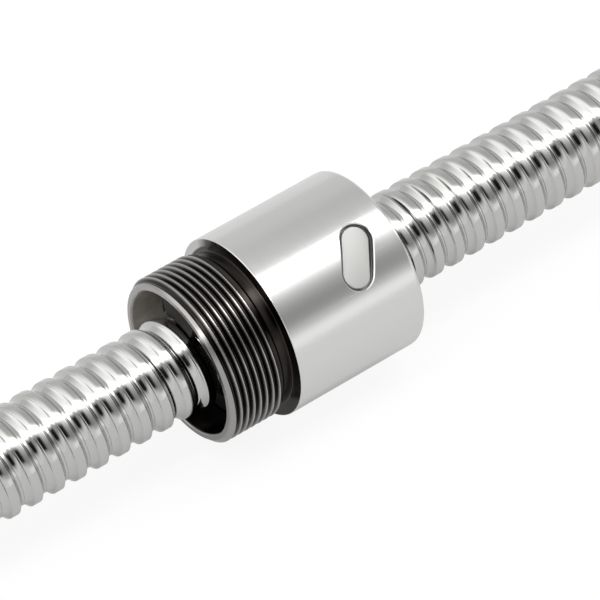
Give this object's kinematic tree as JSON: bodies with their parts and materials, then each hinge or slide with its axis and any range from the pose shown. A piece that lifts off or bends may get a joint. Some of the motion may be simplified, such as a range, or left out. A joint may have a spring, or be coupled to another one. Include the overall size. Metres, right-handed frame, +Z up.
{
  "type": "ball screw nut",
  "caption": "Cylindrical ball nut with an external mounting thread at one end, running on a length of ground ball screw, with inserted return deflectors, ball circuits and wipers.",
  "frame": {"origin": "on the screw's axis at the middle of the nut's length, with the nut centred on the screw", "axes": "+X along the screw from the nut's threaded end to its plain end, +Z up"},
  "size_m": [0.188, 0.038, 0.038],
  "materials": {
    "ground_bearing_steel": "ground and finely turned",
    "polished_screw_steel": "ground and polished",
    "deflector_steel": "matt sintered",
    "ball_steel": "lapped",
    "wiper_polymer": "moulded black",
    "spring_steel": "oiled black spring steel"
  },
  "bodies": {
    "nut": {"nut_body": "ground_bearing_steel", "deflector_1": "deflector_steel", "deflector_2": "deflector_steel", "deflector_3": "deflector_steel", "ball_circuit_1": "ball_steel", "ball_circuit_2": "ball_steel", "ball_circuit_3": "ball_steel", "front_wiper": "wiper_polymer", "rear_wiper": "wiper_polymer", "rear_retaining_ring": "spring_steel"},
    "turning_link": {"front_retaining_ring": "spring_steel"},
    "screw": {"screw_shaft": "polished_screw_steel"}
  },
  "joints": [
    {"name": "screw_turn", "type": "hinge", "parent": "nut", "child": "turning_link", "pos_m": [0, 0, 0], "axis": [1, 0, 0], "range_deg": [-5041, 5041]},
    {"name": "screw_travel", "type": "slide", "parent": "turning_link", "child": "screw", "axis": [1, 0, 0], "range_m": [-0.07, 0.07]}
  ],
  "couplings": [
    {"joint": "screw_turn", "follows": "screw_travel", "rad_per_m": 1256.6}
  ]
}
